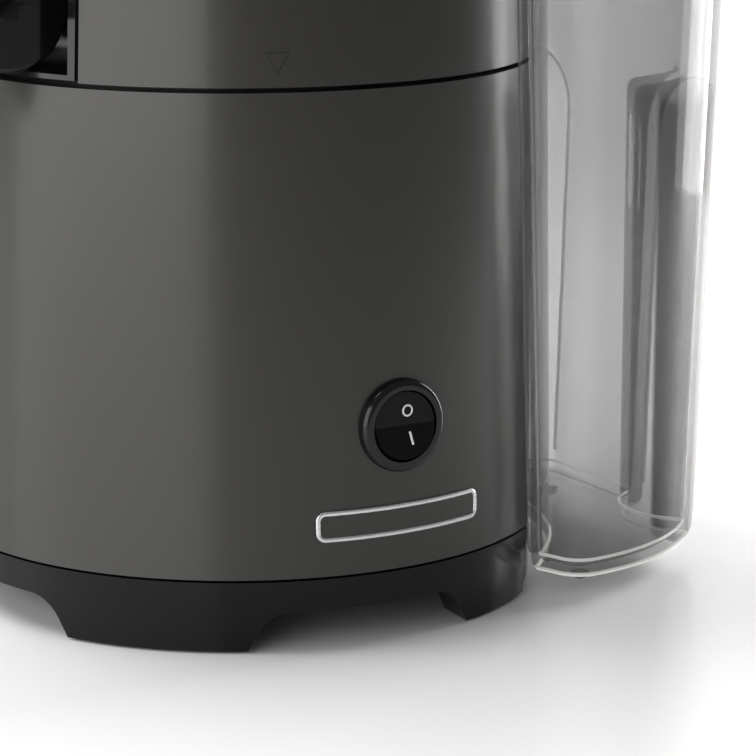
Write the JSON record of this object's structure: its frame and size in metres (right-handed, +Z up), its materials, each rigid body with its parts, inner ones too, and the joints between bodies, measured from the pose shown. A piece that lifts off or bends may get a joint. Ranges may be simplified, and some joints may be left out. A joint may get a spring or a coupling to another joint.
{
  "type": "centrifugal juicer",
  "caption": "Upright centrifugal juicer with a round motor base, collector ring with flip spout, rocker switch, side pulp container, lid with feed chute and pusher.",
  "frame": {"origin": "on the motor axis at table level", "axes": "+Z up, -Y towards the switch, -X towards the pour spout, +X towards the pulp container"},
  "size_m": [0.2431, 0.1624, 0.312],
  "materials": {
    "body_grey": "satin warm grey with a fine metallic grain",
    "skirt_grey": "polished dark grey",
    "rubber_black": "matte black rubber",
    "black_matte": "fine-textured black",
    "steel": "turned and plated steel",
    "plate_alloy": "brushed blank plate",
    "black_gloss": "polished black",
    "white_plastic": "natural nylon",
    "bracket_alloy": "die-cast alloy",
    "laminations": "stacked electrical steel",
    "copper": "enamelled copper",
    "brass": "pressed brass",
    "carbon": "sintered carbon",
    "basket_plastic": "moulded dark grey",
    "stainless": "etched stainless steel",
    "bowl_grey": "moulded grey",
    "silicone": "translucent silicone",
    "smoky_clear": "smoke-tinted clear plastic"
  },
  "bodies": {
    "base": {"base_housing": "body_grey", "base_skirt": "skirt_grey", "rubber_feet": "rubber_black", "bottom_plate": "black_matte", "bottom_plate_screws": "steel", "cord_gland": "rubber_black", "nameplate": "plate_alloy", "switch_bezel": "black_gloss", "switch_body": "black_matte", "interlock_switch": "black_matte", "motor_upper_bracket": "bracket_alloy", "motor_lower_bracket": "bracket_alloy", "upper_bearing": "steel", "lower_bearing": "steel", "motor_dampers": "rubber_black", "damper_screws": "steel", "stator_spacers": "steel", "motor_through_bolts": "steel", "stator_core": "laminations", "field_coils": "copper", "brush_holders": "brass", "carbon_brushes": "carbon", "shaft_seal": "rubber_black"},
    "rocker": {"switch_rocker": "black_gloss"},
    "interlock": {"interlock_pin": "white_plastic"},
    "rotor": {"motor_shaft": "steel", "rotor_core": "laminations", "rotor_winding": "copper", "commutator": "copper", "cooling_fan": "white_plastic", "drive_coupling": "white_plastic", "basket_hub": "basket_plastic", "grater_disc": "stainless", "strainer_screen": "stainless", "basket_rim": "basket_plastic"},
    "collector": {"collector_ring": "body_grey", "collector_bowl": "bowl_grey", "spout_housing": "black_gloss", "spout_pivot_pins": "black_gloss", "spout_seal": "silicone"},
    "spout": {"pour_spout": "black_gloss"},
    "lid": {"lid_cover": "smoky_clear", "lid_seal": "silicone"},
    "pusher": {"pusher_body": "black_gloss", "pusher_cap": "black_gloss"},
    "container": {"pulp_container": "smoky_clear"}
  },
  "joints": [
    {"name": "rotor_spin", "type": "hinge", "parent": "base", "child": "rotor", "pos_m": [0, 0, 0.08], "axis": [0, 0, 1], "continuous": true},
    {"name": "collector_twist", "type": "hinge", "parent": "base", "child": "collector", "pos_m": [0, 0, 0.134], "axis": [0, 0, 1], "range_deg": [0, 25]},
    {"name": "lid_lift", "type": "slide", "parent": "collector", "child": "lid", "axis": [0, 0, 1], "range_m": [0, 0.12]},
    {"name": "pusher_slide", "type": "slide", "parent": "lid", "child": "pusher", "axis": [0, 0, 1], "range_m": [0, 0.1]},
    {"name": "spout_flip", "type": "hinge", "parent": "collector", "child": "spout", "pos_m": [-0.0765, 0, 0.1543], "axis": [0, 1, 0], "range_deg": [0, 60]},
    {"name": "container_slide", "type": "slide", "parent": "base", "child": "container", "axis": [1, 0, 0], "range_m": [0, 0.09]},
    {"name": "rocker_tilt", "type": "hinge", "parent": "base", "child": "rocker", "pos_m": [0.00135, -0.07736, 0.0544], "axis": [0.9998, 0.0174, 0], "range_deg": [0, 18]},
    {"name": "interlock_press", "type": "slide", "parent": "base", "child": "interlock", "axis": [0, 0, -1], "range_m": [0, 0.002], "stiffness_N_per_m": 300}
  ]
}
